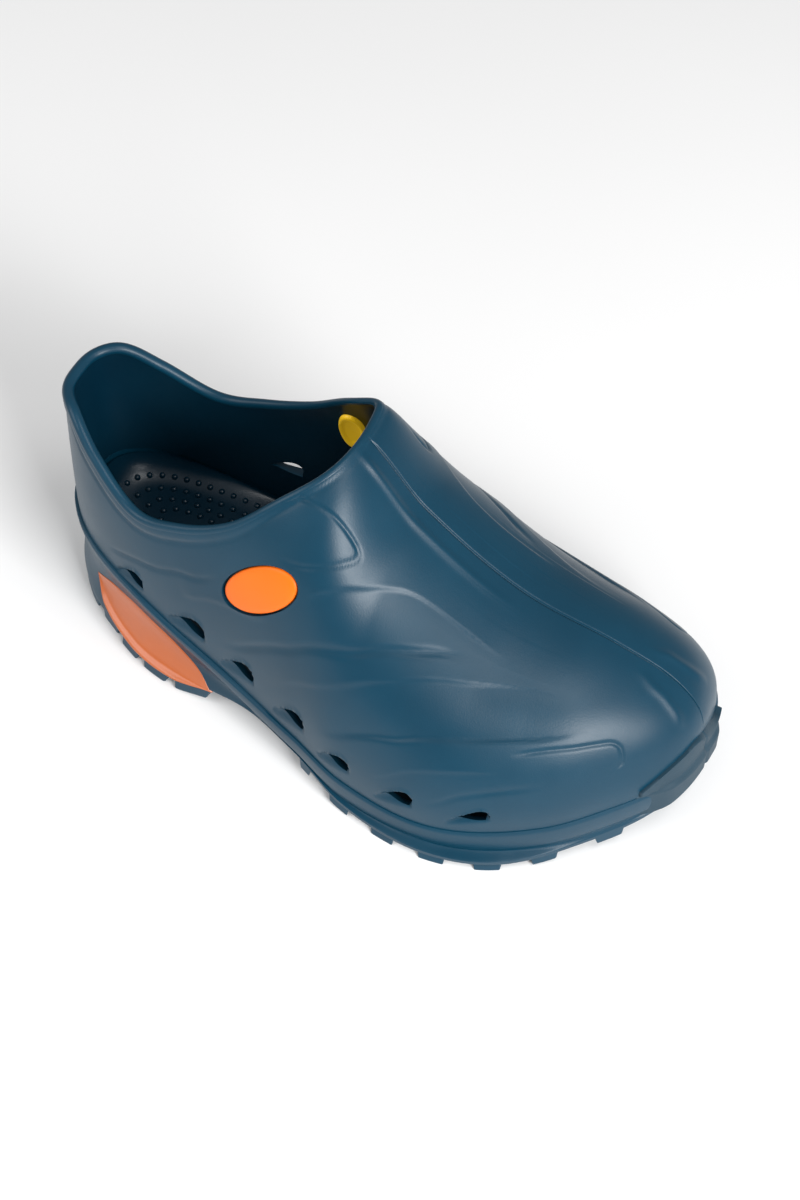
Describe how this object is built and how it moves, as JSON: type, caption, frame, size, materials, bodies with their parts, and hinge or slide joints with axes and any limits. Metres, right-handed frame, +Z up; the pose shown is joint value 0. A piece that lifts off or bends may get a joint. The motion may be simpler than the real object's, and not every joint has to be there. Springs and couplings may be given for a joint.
{
  "type": "rubber garden clog",
  "caption": "Right-foot slip-on garden clog with a vented moulded upper, lugged tread pads, a toe guard and a loose insole.",
  "frame": {"origin": "middle of the clog's footprint box, on the ground the lugs stand on", "axes": "+X towards the toe, +Y towards the medial side (the other foot), +Z up"},
  "size_m": [0.2542, 0.1198, 0.1207],
  "materials": {
    "upper_rubber": "semi-matte moulded, fine grain",
    "guard_rubber": "matte, stippled",
    "tread_rubber": "matte",
    "insole_foam": "soft, matte, with raised nubs at the heel",
    "orange_rubber": "satin",
    "orange_plastic": "satin",
    "amber_plastic": "gloss"
  },
  "bodies": {
    "clog": {"upper_shell": "upper_rubber", "sole_unit": "upper_rubber", "toe_bumper": "guard_rubber", "heel_tread": "tread_rubber", "forefoot_tread": "tread_rubber", "heel_insert_lateral": "orange_rubber", "badge_lateral": "orange_plastic", "badge_backplate_lateral": "amber_plastic", "heel_insert_medial": "orange_rubber", "badge_medial": "orange_plastic", "badge_backplate_medial": "amber_plastic"},
    "insole": {"insole": "insole_foam"}
  },
  "joints": [
    {"name": "insole_heel_lift", "type": "hinge", "parent": "clog", "child": "insole", "pos_m": [0.1175, 0, 0.0201], "axis": [0, 1, 0], "range_deg": [0, 6]}
  ]
}
